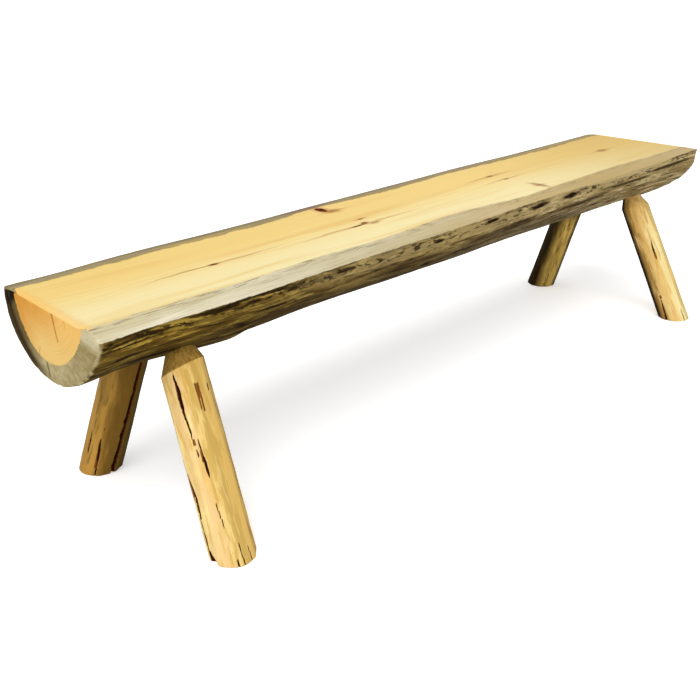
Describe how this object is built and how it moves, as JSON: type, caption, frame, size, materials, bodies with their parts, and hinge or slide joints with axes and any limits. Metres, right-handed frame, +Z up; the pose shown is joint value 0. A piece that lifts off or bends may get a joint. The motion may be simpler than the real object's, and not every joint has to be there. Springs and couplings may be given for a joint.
{
  "type": "half-log bench",
  "caption": "Rustic backless bench: a peeled log sawn flat for the seat, standing on splayed round pole legs tenoned into its underside.",
  "frame": {"origin": "on the floor, under the middle of the bench's overall box", "axes": "+Z up, +X along the seat towards the end with the thinner legs, -Y towards the front, the side with the broad light bevel at its left end"},
  "size_m": [1.8608, 0.5422, 0.457],
  "materials": {
    "seat_wood": "clear-lacquered pine, sawn on top, skip-peeled bark side",
    "leg_wood": "clear-lacquered hand-peeled pine pole",
    "screw_steel": "zinc-plated steel"
  },
  "bodies": {
    "root": {"seat_log": "seat_wood", "leg_front_left": "leg_wood", "leg_back_left": "leg_wood", "leg_front_right": "leg_wood", "leg_back_right": "leg_wood", "tenon_screw_front_left": "screw_steel", "tenon_screw_back_left": "screw_steel", "tenon_screw_front_right": "screw_steel", "tenon_screw_back_right": "screw_steel"}
  },
  "joints": []
}
